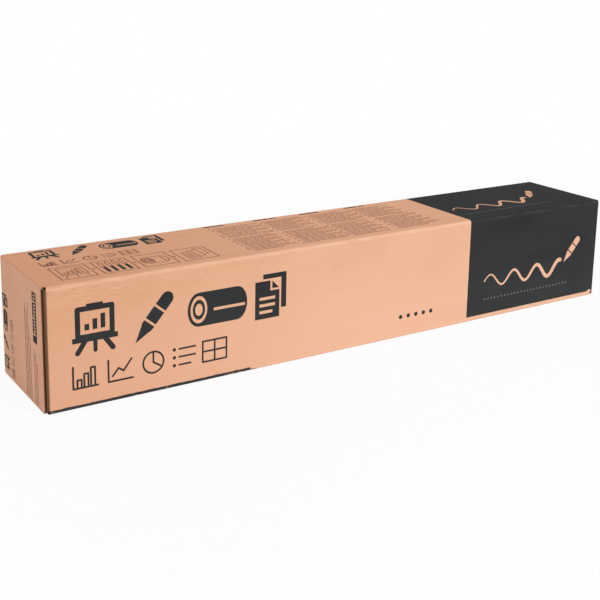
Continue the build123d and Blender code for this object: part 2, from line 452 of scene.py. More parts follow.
def laid(shapes, x, x_run, a, a_run):
    """Shapes laid on the blank: u runs from x, and v from a, each forward (1) or backward (-1)."""
    return [([(x + x_run * u, a + a_run * v) for u, v in shape], colour) for shape, colour in shapes]


def moved(shapes, u, v=0, scale=1.0):
    return laid(shapes, u, scale, v, scale)


def easel_icon():
    """A board on three legs, with a bar chart. 44 by 48."""
    shapes = stroke([(13, 14), (5, 2.5)], 5) + stroke([(31, 14), (39, 2.5)], 5)
    shapes += stroke([(22, 12), (22, 3)], 4) + drawn(rect(5.5, 17, 38.5, 43.5), 5)
    shapes += bar(0, 12, 44, 17) + bar(14, 43, 30, 48)
    return shapes + bar(12, 23, 16.5, 29) + bar(19.7, 23, 24.2, 33) + bar(27.4, 23, 31.9, 37)


def marker_icon(colour=INK):
    """A slanting marker with its tip at the lower left. 42 by 48."""
    gap = KRAFT if colour == INK else INK
    shapes = stroke([(14.5, 16.5), (35, 40.5)], 13, colour)
    shapes += [([(2, 1.5), (9.6, 20.6), (19.4, 12.3)], colour)]
    shapes += stroke([(11, 24.5), (23.5, 14.2)], 2.2, gap)
    return shapes + stroke([(22.5, 35.5), (33.8, 26)], 2.2, gap)


def roll_icon():
    """A roll of paper lying down, its end towards the viewer. 66 by 34."""
    shapes = bar(12, 0, 54, 34) + [(disc(54, 17, 11, 17, 28), INK), (disc(12, 17, 12, 17, 28), INK)]
    shapes += [(disc(12, 17, 9, 13.6, 28), KRAFT), (disc(12, 17, 6.6, 10, 28), INK)]
    return shapes + [(disc(12, 17, 4, 6, 24), KRAFT)] + bar(28, 13.6, 62.5, 16.4, KRAFT)


def sheet_icon():
    """Two sheets, the front one with a folded corner and lines. 36 by 46."""
    shapes = bar(9, 9, 36, 46) + bar(-1.8, -1.8, 30, 41, KRAFT)
    shapes += [([(0, 0), (28, 0), (28, 30), (19, 39), (0, 39)], INK),
               ([(17.4, 39.6), (17.4, 28.4), (28.6, 28.4), (28.6, 30.6), (19.6, 30.6), (19.6, 39.6)], KRAFT)]
    for v, u in ((5.5, 20), (12.5, 23), (19.5, 23)):
        shapes += bar(5, v, u, v + 3, KRAFT)
    return shapes


def bold_row():
    """Four bold pictograms. 225 by 48."""
    left = easel_icon() + moved(marker_icon(), 59)
    return left + moved(roll_icon(), 115, 6) + moved(sheet_icon(), 189, 1)


def thin_row(colour=INK, pen=1.9):
    """Five small charts in thin lines. 158 by 23."""
    def line(*points):
        return stroke(points, pen, colour)

    axes = line((1, 22), (1, 1), (25, 1))
    bars = list(axes)
    for u, v in ((5, 9), (11.5, 14), (18, 19)):
        bars += line((u, 1), (u, v), (u + 4, v), (u + 4, 1))
    trend = axes + line((5, 6), (11, 13), (16, 9.5), (24, 20))
    pie = drawn(disc(0, 11.5, 10.5, count=28), pen, colour) + line((0, 22), (0, 11.5), (8.6, 6))
    points, table = [], []
    for v, length in ((3.5, 12), (11.5, 17), (19.5, 17)):
        points += [(disc(1.8, v, 1.8, count=12), colour)] + line((7, v), (7 + length, v))
    for k in range(3):
        table += line((0, 1 + 10.5 * k), (26, 1 + 10.5 * k)) + line((13 * k, 1), (13 * k, 22))
    return bars + moved(trend, 34) + moved(pie, 80) + moved(points, 100) + moved(table, 132)


def grey_text(u, v, width, height, seed, colour=FINE):
    """A line of small print: bars that stand for words."""
    rng = Random(seed)
    shapes, place = [], u
    while place < u + width - height:
        word = min(rng.uniform(2.5, 9.0) * height, u + width - place)
        shapes += bar(place, v, place + word, v + height, colour)
        place += word + height * 0.6
    return shapes


def brush_wave(steps=56):
    """A pen line in waves, that swells as it goes."""
    shares = [k / steps for k in range(steps + 1)]
    line = [(514 + 120 * s, 45 + 9 * sin(s * 6.6 * pi) * (0.75 + 0.25 * s)) for s in shares]
    shapes = []
    for k in range(steps):
        shapes += stroke(line[k:k + 2], 1.5 + 3.6 * shares[k], KRAFT)
    return shapes


def mark():
    """What stands on the dark block: a swelling wave, the marker that drew it, and a row of dots."""
    shapes = brush_wave() + moved(marker_icon(KRAFT), 639, 49, 0.64)
    return shapes + [(disc(516 + 5.2 * k, 23.5, 1.05, count=10), PALE) for k in range(26)]


def long_side_print(block_low, block_high):
    """The print of the front or back, from its lower left corner."""
    shapes = moved(bold_row(), 23, 51) + moved(thin_row(), 22, 19)
    shapes += [(disc(395 + 10.5 * k, 23.5, 2.4), INK) for k in range(5)]
    return shapes + bar(BLOCK_START + FOLD, block_low, 2 * END, block_high) + mark()


fine_stroke, fine_drawn = (partial(line, width=1.0, colour=FINE) for line in (stroke, drawn))


def framed_easel(middle):
    shapes = []
    for u, lean in ((middle - 9, -2.5), (middle, 0), (middle + 9, 2.5)):
        shapes += fine_stroke([(u, 24), (u + lean, 16)])
    shapes += fine_drawn(rect(middle - 12, 24, middle + 12, 47))
    for k in range(4):
        shapes += fine_drawn(rect(middle - 9 + 4.7 * k, 27, middle - 6 + 4.7 * k, 33 + 3 * k))
    return shapes


def framed_markers(middle):
    shapes = []
    for k in range(4):
        u = middle - 12.4 + 7.2 * k
        shapes += bar(u, 16.5, u + 3.6, 33)
        shapes += fine_drawn([(u, 34), (u + 3.6, 34), (u + 3.6, 45), (u + 1.8, 49), (u, 45)])
    return shapes


def framed_roll(middle):
    far_end = disc(middle + 8, 32, 5, 10)
    shapes = fine_drawn(rect(middle - 8, 22, middle + 8, 42)) + fine_drawn(far_end[15:] + far_end[:6])
    for share in (1.0, 0.76, 0.52, 0.3):
        shapes += fine_drawn(disc(middle - 8, 32, 6 * share, 10 * share))
    return shapes


def framed_sheets(middle):
    shapes = []
    for k in range(3):
        u, v = middle + 5 - 8 * k, 26 - 4 * k
        shapes += fine_drawn(rect(u, v, u + 8 + 2 * k, v + 22))
    for k in range(6):
        shapes += fine_stroke([(middle - 9, 21 + 3 * k), (middle - 1, 21 + 3 * k)])
    return shapes


def framed_icons(pen=1.15):
    """Four small framed line drawings with plus signs between them."""
    shapes = []
    frames = ((24, 58, framed_easel), (65, 99, framed_markers), (106, 140.5, framed_roll),
              (147.5, 182.5, framed_sheets))
    for u0, u1, drawing in frames:
        shapes += drawn(rect(u0, 13, u1, 52), pen, FINE) + drawing((u0 + u1) / 2)
        if drawing is not framed_sheets:
            shapes += stroke([(u1 + 1.6, 32.5), (u1 + 4.8, 32.5)], pen, FINE)
            shapes += stroke([(u1 + 3.2, 30.9), (u1 + 3.2, 34.1)], pen, FINE)
    return shapes


def top_print():
    """The top's print, from its front left corner."""
    shapes = moved(bold_row(), 22.5, 83, 0.615) + moved(thin_row(FINE, 2.4), 22, 60, 0.615) + framed_icons()
    for column, u in enumerate((219, 280, 340, 401)):
        shapes += grey_text(u - 2, 112.2, 26 + 3 * (column % 2), 3.0, 10 * column, INK)
        for part, (head, rows) in enumerate(((103.5, 10), (58.5, 12))):
            for row in range(rows):
                v = head - 4.2 * row
                width = (54, 47, 40, 51, 56, 33)[(2 * row + column + part) % 6]
                shapes += grey_text(u + 3.4, v, width, 1.45, 100 * column + 20 * part + row)
                if (row + column) % 2 == 0 or row == rows - 3:
                    shapes.append((disc(u, v + 0.8, 1.2, count=8), INK))
    return shapes + bar(BLOCK_START + END, -1, 2 * END, DEPTH + 1) + moved(mark(), -8, 1)


def end_print():
    """An end flap's print: u up from the base, and v from the front edge to the back."""
    shapes = moved(bold_row(), 7, 97, 0.34) + moved(thin_row(), 5, 83, 0.36)
    for row, width in enumerate((90, 84, 92, 60)):
        shapes += grey_text(3, 45.5 - 4.2 * row, width, 1.4, 500 + row)
    shapes += bar(62, 14, 110, 24.5)
    for k in range(13):  # ticks, every fifth one longer
        u = 69 + 3.1 * k
        shapes += bar(u, 17, u + 1.7, 17 + 4.6 * (1.5 if k % 5 == 0 else 1), KRAFT)
    for row, width in enumerate((52, 48, 40)):
        shapes += grey_text(3, 22.4 - 3.8 * row, width, 1.3, 530 + row)
    return shapes


def bottom_edge_ink():
    """Where the base's block runs up over the front's lower edge, with a worn, tapering end."""
    rng = Random(8)
    outline = [(-END, 0)]
    x = -FOLD
    while x < -140:
        outline.append((x, OVERRUN + rng.uniform(-0.25, 0.25)))
        x += rng.uniform(2.0, 7.0)
    outline += [(-139, 2.0), (-136, 1.5), (-133, 1.1), (-130.5, 0.4), (-129, 0), (-129, -1), (-END, -1)]
    worn = [(disc(x, rng.uniform(0.5, 2.0), rng.uniform(0.5, 2.2), rng.uniform(0.25, 0.6), 8), KRAFT)
            for x in (-168, -163.5, -160, -157, -152, -149.5, -231, -262, -344)]
    return [(outline, INK)] + worn


def rubbed_corner_with_dark_patch():
    """The liner rubbed pale at the right end of the front's lower edge, with a dark patch in it."""
    pale = [(-10, 5.2), (-6.5, 7.6), (-4.2, 8.0), (-CREASE_RADIUS, BLOCK_FOOT)]
    pale += [(1, BLOCK_FOOT), (1, -1), (-7, -1)]
    dark_patch = [(-4.2, 3.0), (-3.4, 5.2), (-1.5, 6.0), (1, 6.2), (1, 1.6), (-2.6, 1.8)]
    return moved([(pale, KRAFT), (dark_patch, CUT)], FOLD)


PRINTS = {  # in x and a
    "front_panel": (laid(long_side_print(BLOCK_FOOT, TOP + 1), -FOLD, 1, BASE.start, -1)
                    + laid(bottom_edge_ink() + rubbed_corner_with_dark_patch(), 0, 1, BASE.start, -1)),
    "back_panel": (laid(long_side_print(-1, TOP - BLOCK_FOOT), FOLD, -1, 0, 1)
                   + bar(BLOCK_START, TOP - OVERRUN, 2 * END, TOP + 1)),
    "top_panel": laid(top_print(), -END, 1, FRONT.start, -1),
    "bottom_panel": laid(top_print(), END, -1, BASE.start, 1),
    "left_end_flap": laid(end_print(), -END - TOP, 1, FRONT.start - SLOT_HALF, -1),
    "right_end_flap": laid(end_print(), END + TOP, -1, BASE.start + SLOT_HALF, 1),
    "right_front_dust_flap": bar(0, FRONT.start, FOLD + BLOCK_PAST, FRONT.stop - BLOCK_FOOT),
    "left_back_dust_flap": bar(-FOLD - BLOCK_PAST, BACK.start, 0, BACK.stop - BLOCK_FOOT),
}


# ==== the board pieces ====

def flute_start(depth):
    """How far from a crease the fluting starts: behind the mitre, and under the rounded liner."""
    under = (CREASE_RADIUS - LINER - FLUTE_AIR) ** 2 - (CREASE_RADIUS - depth) ** 2
    return max(depth + LINER, CREASE_RADIUS - sqrt(max(0.0, under)))


def flute_ends(low_crease, high_crease, low, high, depth):
    """x of the fluting's ends at a depth: mitred at a crease, or just inside a raw edge."""
    return (low_crease + flute_start(depth) if low_crease is not None else low + FLUTE_INSET,
            high_crease - flute_start(depth) if high_crease is not None else high - FLUTE_INSET)


def layers(name, outer, inner, middle, place, creases=(None, None), lines=(), face=None, air=0.0,
           inset=SIDE_INSET):
    """A piece with the board's three layers, each with its outline. face places the outer liner."""
    piece = Piece()
    slab(piece, outer, face or place, (air, LINER), (KRAFT, CUT, CUT), PRINTS.get(name, ()), lines)
    # the inner liner's face towards the flutes takes the fluting's darker colour, painted shade
    slab(piece, inner, place, (BOARD - LINER, BOARD), (FLUTE, INNER, INNER))
    fluting(piece, middle, place, creases, inset)
    return piece


def crease_lip(piece, crease, way, ends, place):
    """The inner paper turned up over a mitred edge. way is 1 or -1, from the crease into the board."""
    top, foot = CREASE_RADIUS * LIP_START + LINER / 2, BOARD - LIP_AIR
    section = [(top, top), (foot, foot), (BOARD + LINER - LIP_AIR, foot), (top + LINER, top)]

    def on_mitre(t, depth, a):
        x = crease + way * t
        return place(x, a, depth)[0], (x, a)
    prism(piece, section, ends, on_mitre, [LIP])


def fold_core(piece, panel, side):
    """The crushed fluting in a panel's first long fold, for side -1, or its second, for side 1."""
    deep = BOARD - CORE_INSIDE
    section = CORE_OUTSIDE + [(CORE_OUTSIDE[-1][0], deep), (deep, deep)]

    def place(t, depth, x):
        s = t if side < 0 else panel.length - t
        return panel.at(x, s, depth), (x, panel.start + s)
    prism(piece, section, [-SLOT_END + FLUTE_INSET, SLOT_END - FLUTE_INSET], place, [FLUTE])


def long_panel(name, panel, left, right, *creases):
    """A panel of the tube, with its half ends at the left and at the right."""
    low_crease, high_crease = creases
    arc = [FOLD_RADIUS * k / ARC_STEPS for k in range(1, ARC_STEPS + 1)]
    folds = [[(-2 * END, a), (2 * END, a)] for s in arc for a in panel.between(s)]
    low = low_crease + BOARD if low_crease is not None else -left[-1][0]
    high = high_crease - BOARD if high_crease is not None else right[-1][0]
    first, last = panel.between(BOARD - LINER_LAP)
    ends = panel.between(SLOT_HALF)
    piece = layers(name, panel_outline(panel, left, right), rect(low, first, high, last),
                   rect(-max(left)[0], ends[0], max(right)[0], ends[1]), panel.flat,
                   creases, folds, panel.face, inset=FLUTE_INSET)
    for crease in creases:
        if crease is not None:
            crease_lip(piece, crease, -sign(crease), ends, panel.flat)
    for side in (-1, 1):
        fold_core(piece, panel, side)
    board_object(piece, name, "carton")


def flap(name, panel, crease, outline_from):
    """A flap. outline_from(start) is its outline, from start past the crease to the free edge."""
    place = panel.flap(crease)
    outline = outline_from(CREASE_RADIUS)
    creases = (crease, None) if crease > 0 else (None, crease)
    piece = layers(name, outline, outline_from(BOARD), outline_from(0.0), place, creases)
    crease_lip(piece, crease, sign(crease), sorted([outline[0][1], outline[-1][1]]), place)
    board_object(piece, name, name)


def crease_strip(name, panel, crease, stations, slots):
    """The outer paper round a crease."""
    end = sign(crease)
    steps = 2 * ARC_STEPS
    arc = range(-steps, steps + 1)

    def place(k, depth, a):
        along, deep, _ = rounded(abs(k) / steps * CREASE_RADIUS, depth, CREASE_RADIUS)
        if k > 0:
            along, deep = deep, along
        x = crease + end * CREASE_RADIUS * k / steps
        return panel.at(crease - end * along, a - panel.start, deep), (x, a)

    piece = Piece()
    prism(piece, [(k, 0) for k in arc] + [(k, LINER) for k in arc[::-1]], stations, place, slots)
    made = piece.finished(name.replace("_flap", "_crease"), BOARD_MATERIALS, own_normals=False)
    start = panel.at(crease - end * CREASE_RADIUS, 0, 0) * MM
    stop = panel.at(crease, 0, CREASE_RADIUS) * MM
    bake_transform(made)


def board_object(piece, name, body):
    made = piece.finished(name + "_board", BOARD_MATERIALS)
    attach(made, body)
    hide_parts(name)


def glue_tab():
    """The maker's joint: the tab that the base panel carries, stuck inside the back panel."""
    low, high, half = TAB_LOW.z, TAB_HIGH.z, TAB_HIGH.x
    outline = [(-half, low), (half, low), (half - TAB_SKEW, high), (-half + TAB_SKEW, high)]

    def place(x, z, depth):
        return Vector((x, TAB_HIGH.y - depth, z)), Vector((0, 1, 0))
    piece = layers("glue_tab", outline, outline, outline, place, air=GLUE)
    board_object(piece, "glue_tab", "carton")


def build_carton():
    folded, raw, hinged = panel_end(END - CREASE_RADIUS), panel_end(FOLD), panel_end(FOLD, DUST_SIDE)
    long_panel("top_panel", LID, folded, raw, -END, None)
    long_panel("bottom_panel", BASE, raw, folded, None, END)
    long_panel("front_panel", FRONT, hinged, hinged, -FOLD, FOLD)
    long_panel("back_panel", BACK, hinged, hinged, -FOLD, FOLD)
    glue_tab()
    end_flaps = (("left_end_flap", LID, -END, LEFT_REACH), ("right_end_flap", BASE, END, RIGHT_REACH))
    for name, panel, crease, reach in end_flaps:
        flap(name, panel, crease, partial(end_flap_outline, panel, crease, reach))
    for name, panel, crease, _ in end_flaps:
        crease_strip(name, panel, crease, panel.between(SLOT_HALF), [KRAFT])
    for side, panel in (("front", FRONT), ("back", BACK)):
        for end, crease in (("left", -FOLD), ("right", FOLD)):
            name = f"{end}_{side}_dust_flap"
            flap(name, panel, crease, partial(dust_flap_outline, panel, crease))
            stations, slots = panel.between(DUST_SIDE), [KRAFT]
            if name in PRINTS:  # beside a dark block
                stations.insert(1, panel.stop - BLOCK_FOOT)
                slots = [INK, KRAFT]
            crease_strip(name, panel, crease, stations, slots)


# ==== materials ====

class Nodes:
    """The nodes of a material or a world, built by short calls. tone is the base colour so far."""

    def __init__(self, name, tone=None, on_blank=False, holder=None):
        self.holder = holder or bpy.data.materials.new(name)
        self.holder.use_nodes = True
        self.tree = self.holder.node_tree
        self.tone, self.on_blank = tone, on_blank

    @cached_property
    def place(self):
        """Blank coordinates, x and a, or else the piece's own x, y and z, in metres."""
        return self.add("UVMap", uv_map="blank") if self.on_blank else self.add("TexCoord", output=3)

    def add(self, kind, inputs=(), output=0, **settings):
        """Adds a node, sets and links its inputs, and returns one of its outputs."""
        node = self.tree.nodes.new("ShaderNode" + kind)
        for key, value in settings.items():
            setattr(node, key, value)
        self.fill(node, dict(inputs))
        return node.outputs[output]

    def fill(self, node, inputs):
        for key, value in inputs.items():
            self.put(node.inputs[key], value)

    def put(self, socket, value):
        if isinstance(value, bpy.types.NodeSocket):
            self.tree.links.new(value, socket)
        elif value is not None:
            socket.default_value = (*value, 1.0) if socket.type == "RGBA" else value

    def axis(self, index):
        return self.add("SeparateXYZ", {"Vector": self.place}, output=index)

    def noise(self, sizes, detail=3.0, grit=0.5):
        """Noise whose grain has the given size along each axis, in millimetres."""
        scaled = self.add("Mapping", {"Vector": self.place, "Scale": [1 / (s * MM) for s in sizes]})
        return self.add("TexNoise", {"Vector": scaled, "Scale": 1.0, "Detail": detail, "Roughness": grit})

    def ramp(self, value, low, high, to_low=0.0, to_high=1.0):
        inputs = {"Value": value, "From Min": low, "From Max": high, "To Min": to_low, "To Max": to_high}
        return self.add("MapRange", inputs)

    def math(self, operation, a, b=0.0, c=0.0):
        return self.add("Math", {0: a, 1: b, 2: c}, operation=operation)

    def times(self, a, b):
        return self.math("MULTIPLY", a, b)

    def plus(self, a, b):
        return self.math("ADD", a, b)

    def off(self, index, middle):
        """How far a point is from the middle, which is in millimetres, along an axis."""
        return self.math("ABSOLUTE", self.math("SUBTRACT", self.axis(index), middle * MM))

    def near(self, value, middle, reach):
        """1 where the value is within reach of the middle, both in millimetres, and 0 elsewhere."""
        return self.math("COMPARE", value, middle * MM, reach * MM)

    def lay(self, share, colour, blend="MIX"):
        """Covers the tone with a colour, in the given share."""
        self.tone = self.add("Mix", {0: share, 6: self.tone, 7: colour}, output=2, data_type="RGBA",
                             blend_type=blend)

    def tint(self, share, colour):
        """Multiplies the tone by a colour, in the given share."""
        self.lay(share, colour, "MULTIPLY")

    def bump(self, height, distance, strength, below=None):
        inputs = {"Height": height, "Distance": distance * MM, "Strength": strength, "Normal": below}
        return self.add("Bump", inputs)

    def shader(self, roughness, specular, normal=None):
        """Sets the shader, the tone as its base colour, and returns the material."""
        inputs = {"Base Color": self.tone, "Roughness": roughness, "Specular IOR Level": specular}
        self.fill(self.tree.nodes["Principled BSDF"], {**inputs, "Normal": normal})
        return self.holder


def relief(n, fibres, fine, ripple, strength):
    """The liner's bump: the flutes showing through as a soft ripple, with its fibres and flecks over that."""
    flutes = n.math("SINE", n.times(n.axis(1), tau / (FLUTE_PITCH * MM)))
    return n.bump(n.plus(n.times(fibres, 0.6), fine), 0.04, strength,
                  n.bump(n.ramp(flutes, -1, 1), ripple, 0.5))


def lit_and_worn_folds(n):
    """Where the long folds get a painted highlight with some wear: 0 to 1, in patches, mostly on the upright
    side.
    """
    worn = 0.0
    for middle in BACK.between(FOLD_HIGHLIGHT_LINE) + FRONT.between(FOLD_HIGHLIGHT_LINE) + [BASE.stop]:
        worn = n.math("MAXIMUM", worn, n.ramp(n.off(1, middle), 0.8 * MM, 3.4 * MM, 1, 0))
    patches = n.noise((26, 9, 1), 5.0, 0.65)
    return n.times(worn, n.ramp(patches, 0.34, 0.68, 0.15, 1))


def wrinkle_highlights_and_scuffs(n):
    """Long thin pale streaks beside the front's upper fold, strongest at the left end: painted highlights on
    small wrinkles, with scuffs.
    """
    beside = n.ramp(n.off(1, FRONT.start + 9), 5 * MM, 13 * MM, 1, 0)
    leftward = n.ramp(n.axis(0), -END * MM, (-END + 150) * MM, 1, 0.1)
    streaks = n.ramp(n.noise((17, 2.2, 1), 5.0, 0.7), 0.48, 0.66)
    return n.times(n.times(beside, leftward), streaks)


def shaded_crushed_creases(n):
    """1 along the creases of the dust flaps, where painted shade stands for the slot beside the end flap and
    the liner is crushed, and 0 elsewhere.
    """
    along, across = n.math("ABSOLUTE", n.axis(0)), n.axis(1)
    upright = n.plus(n.near(across, FRONT.start + TOP / 2, TOP / 2), n.near(across, TOP / 2, TOP / 2))
    crushed = n.times(n.ramp(along, (FOLD - 0.9) * MM, (FOLD - 0.1) * MM),
                      n.ramp(along, (FOLD + 3.0) * MM, (FOLD + 3.8) * MM, 1, 0))
    return n.times(upright, crushed)


def round_from_lid(n):
    """Metres round the carton from the lid's middle line, and a share: 1 on the lid and 0 off it."""
    away = n.off(1, TOP + SIDE)
    return away, n.ramp(away, (SIDE - 4) * MM, SIDE * MM, 1, 0)


def liner(name, base, dark, light):
    """Liner paper: clouds, fibres, flecks and the ripple of the flutes. Returns its nodes and its bump."""
    n = Nodes(name, dark, on_blank=True)
    fibres = n.noise((2.6, 7.0, 1), 4.0, 0.65)
    fine = n.noise((0.5, 1.4, 1), 2.0, 0.6)
    n.lay(n.ramp(n.noise((70, 45, 1)), 0.3, 0.7), base)
    n.lay(n.ramp(fibres, 0.42, 0.78, 0, 0.45), light)
    n.lay(n.ramp(fine, 0.6, 0.75, 0, 0.22), dark)
    return n, relief(n, fibres, fine, 0.03, 0.6)


def kraft():
    """The outer liner, with grime. Painted light: redder on the lid, paler low on the sides, duller at the
    left; painted highlights with wear on the folds, painted shade in the dust flaps' creases.
    """
    n, height = liner("kraft_liner", (0.80, 0.455, 0.288), (0.745, 0.405, 0.248), (0.84, 0.51, 0.335))
    along = n.axis(0)
    from_lid, lid = round_from_lid(n)
    grime = n.noise((34, 22, 1), 5.0, 0.6)
    blush = n.noise((120, 16, 1), 3.0, 0.55)
    # painted light: the sides paler towards the base, as if lit from below
    n.lay(n.ramp(from_lid, SIDE * MM, (SIDE + 90) * MM, 0, 0.75), (0.86, 0.515, 0.350))
    # painted light: the lid tinted redder, for how the top is lit
    n.tint(lid, (1.0, 0.955, 0.925))
    n.lay(n.ramp(blush, 0.5, 0.75, 0, 0.35), (0.84, 0.455, 0.31))
    # painted shade: darker and warmer towards the left end, where the light falls off; the left end flap's
    # face then tinted cooler, for its own light
    n.tint(n.ramp(along, -END * MM, -END * MM * 0.2, 1, 0), (0.92, 0.845, 0.78))
    end_flap = n.times(lid, n.ramp(along, -(END + 2) * MM, -END * MM, 1, 0))
    n.tint(end_flap, (0.985, 1.115, 1.31))
    n.lay(n.ramp(grime, 0.62, 0.82, 0, 0.26), (0.60, 0.31, 0.19))
    # painted highlight, with some wear, along the long folds
    n.lay(n.times(lit_and_worn_folds(n), 0.5), (0.97, 0.62, 0.43))
    # pale streaks: painted highlights on small wrinkles, with scuffs
    n.lay(n.times(wrinkle_highlights_and_scuffs(n), 0.5), (0.95, 0.62, 0.44))
    # painted shade in the dust flaps' creases, where the liner is also crushed
    n.lay(n.times(shaded_crushed_creases(n), 0.86), (0.17, 0.080, 0.042))
    return n.shader(n.ramp(grime, 0.3, 0.7, 0.78, 0.9), 0.08, height)


def ink():
    """Matt ink on the liner: uneven, flecked with fibres, darker on the lid and paler low on the sides as
    painted light, with a painted highlight and wear at the folds.
    """
    n = Nodes("charcoal_ink", (0.024, 0.0262, 0.0275), on_blank=True)
    fibres = n.noise((1.8, 5.0, 1), 4.0, 0.7)
    specks = n.noise((0.55, 0.8, 1), 2.0)
    n.lay(n.ramp(n.noise((70, 45, 1)), 0.3, 0.7), (0.031, 0.0335, 0.0348))
    n.lay(n.ramp(fibres, 0.55, 0.8, 0, 0.25), (0.055, 0.055, 0.052))
    n.lay(n.ramp(specks, 0.72, 0.80, 0, 0.4), (0.20, 0.13, 0.09))
    from_lid, lid = round_from_lid(n)
    # painted shade: the ink darker on the lid; then a painted sheen, the ink paler low on the sides
    n.tint(lid, (0.91, 0.86, 0.86))
    n.tint(n.ramp(from_lid, SIDE * MM, (SIDE + TOP) * MM), (1.45, 1.38, 1.35))
    # painted highlight, with some wear, on the ink along the folds
    n.lay(n.times(n.math("POWER", lit_and_worn_folds(n), 2.0), 0.2), (0.24, 0.20, 0.17))
    return n.shader(n.ramp(fibres, 0.3, 0.7, 0.75, 0.88), 0.06, relief(n, fibres, specks, 0.02, 0.8))


def inner_liner():
    n, height = liner("inner_liner", (0.53, 0.335, 0.205), (0.43, 0.258, 0.150), (0.63, 0.425, 0.272))
    return n.shader(0.82, 0.2, height)


def crushed_liner():
    """The inner liner pressed down along a crease: smooth, with short dark cracks across it."""
    n = Nodes("crushed_inner_liner", (0.53, 0.310, 0.178), on_blank=True)
    n.lay(n.ramp(n.noise((1.5, 4.0, 1), 4.0, 0.6), 0.35, 0.7), (0.67, 0.415, 0.252))
    n.lay(n.ramp(n.noise((2.5, 0.4, 1), 3.0, 0.6), 0.6, 0.75, 0, 0.35), (0.33, 0.185, 0.100))
    return n.shader(0.85, 0.15)


def fibrous(name, sizes, dark, light, bump, detail=3.0, grit=0.7, spread=(0.35, 0.7), roughness=0.9,
            specular=0.15, on_blank=False):
    """Fibres of the given sizes, between two colours. bump is their depth and strength."""
    n = Nodes(name, dark, on_blank)
    fibres = n.noise(sizes, detail, grit)
    n.lay(n.ramp(fibres, *spread), light)
    return n.shader(roughness, specular, n.bump(fibres, *bump))


def thin_print(name, dark, light):
    """Lines so thin that the colour round them bleeds in from both sides."""
    return fibrous(name, (1.2, 2.5, 1), dark, light, (0.03, 0.6), detail=4.0, roughness=0.85, specular=0.1,
                   on_blank=True)


def felt(name, tone):
    paler = [min(1.0, c * 1.5 + 0.02) for c in tone]
    return fibrous(name, (1.6, 0.25, 0.25), tone, paler, (0.06, 0.9), specular=0.2)


def flipchart_paper():
    """Uncoated white paper, faintly clouded."""
    n = Nodes("flipchart_paper", (0.80, 0.80, 0.78))
    fibres = n.noise([1.5] * 3, 4.0, 0.6)
    n.lay(n.ramp(n.noise((60, 40, 40), 2.0), 0.3, 0.7), (0.86, 0.86, 0.84))
    return n.shader(n.ramp(fibres, 0.3, 0.7, 0.6, 0.72), 0.3, n.bump(fibres, 0.02, 0.5))


def sheet_edges(name, across):
    """The cut edges of sheets, with painted shade in the gaps between them. across(n) says how far through the
    stack a point is, in metres.
    """
    n = Nodes(name, (0.60, 0.59, 0.56))
    fibres = n.noise([0.25] * 3, 3.0, 0.7)
    uneven = n.noise((9, 1.5, 1.5), 3.0, 0.6)
    waves = n.math("SINE", n.times(across(n), tau / (SHEET_GAP * MM)))
    n.lay(n.ramp(fibres, 0.35, 0.7), (0.83, 0.82, 0.79))
    # painted shade in the gaps between the sheets, uneven along them
    n.lay(n.times(n.ramp(waves, 0.0, 0.9), n.ramp(uneven, 0.35, 0.65, 0.2, 0.8)), (0.36, 0.35, 0.33))
    height = n.plus(n.times(fibres, 0.4), n.ramp(waves, -1, 1))
    return n.shader(0.8, 0.2, n.bump(height, 0.08, 0.8))


def from_line(n, *others):
    """Metres from a line along one axis. others are (axis, place) of the other two."""
    away = [n.off(*other) for other in others]
    return n.math("SQRT", n.plus(*(n.times(d, d) for d in away)))


def cover_card():
    """Charcoal card, printed with a brown ring and dot in a corner and two brown bands along the foot."""
    n = Nodes("booklet_cover_card", (0.045, 0.05, 0.054))
    fibres = n.noise([1.5] * 3, 4.0, 0.6)
    n.lay(n.ramp(fibres, 0.3, 0.75), (0.075, 0.08, 0.085))
    low, high = box_mm("booklet_cover")
    away = from_line(n, (0, low.x + 30), (2, high.z - 30))
    ring = n.plus(n.near(away, 12, 3), n.math("LESS_THAN", away, 4 * MM))
    up = n.axis(2)
    bands = n.plus(n.near(up, low.z + 18, 4), n.near(up, low.z + 26, 0.8))
    n.lay(n.math("MAXIMUM", ring, bands), (0.52, 0.33, 0.21))
    return n.shader(n.ramp(fibres, 0.3, 0.7, 0.42, 0.55), 0.4, n.bump(fibres, 0.02, 0.6))


def plastic(name, tone, roughness, grain, rings=None):
    """Moulded plastic, its gloss changed by handling. rings is the (x, colour) of a broad and a thin ring."""
    n = Nodes(name, tone)
    speckle = n.noise([grain] * 3, 2.0)
    worn = n.noise((14, 9, 9))
    n.lay(n.ramp(worn, 0.35, 0.7), [min(1.0, c * 1.25 + 0.006) for c in tone])
    if rings:
        x, colour = rings
        away = n.off(0, x)
        n.lay(n.plus(n.math("LESS_THAN", away, 5 * MM), n.near(away, 8, 0.7)), colour)
    gloss = n.ramp(worn, 0.3, 0.7, roughness - 0.06, roughness + 0.08)
    return n.shader(gloss, 0.5, n.bump(speckle, 0.015, 0.5))


BOARD_MATERIALS = [
    kraft(), ink(),
    thin_print("fine_print_ink", (0.13, 0.045, 0.024), (0.25, 0.105, 0.060)),
    thin_print("fine_bare_lines", (0.13, 0.11, 0.10), (0.30, 0.25, 0.22)),
    inner_liner(),
    # painted shade: the fluting paper darker than its own brown, for the shade between the liners
    fibrous("shaded_fluting_paper", (3, 1.2, 1.2), (0.21, 0.090, 0.045), (0.35, 0.170, 0.088), (0.05, 0.8),
            detail=4.0, grit=0.6),
    fibrous("cut_liner_edge", [0.8] * 3, (0.12, 0.045, 0.023), (0.25, 0.10, 0.052), (0.08, 0.8)),
    crushed_liner(),
]


def paint(node, material):
    """Gives a CAD node a new material."""
    slots = frame["nodes"][node].data.materials
    slots.clear()
    slots.append(material)


def ring_place(marker):
    """x of the rings on a marker's barrel, measured from the end away from its cap."""
    low, high = box_mm(marker + "_barrel")
    return low.x + RING_PLACE if box_mm(marker + "_cap")[0].x > low.x else high.x - RING_PLACE


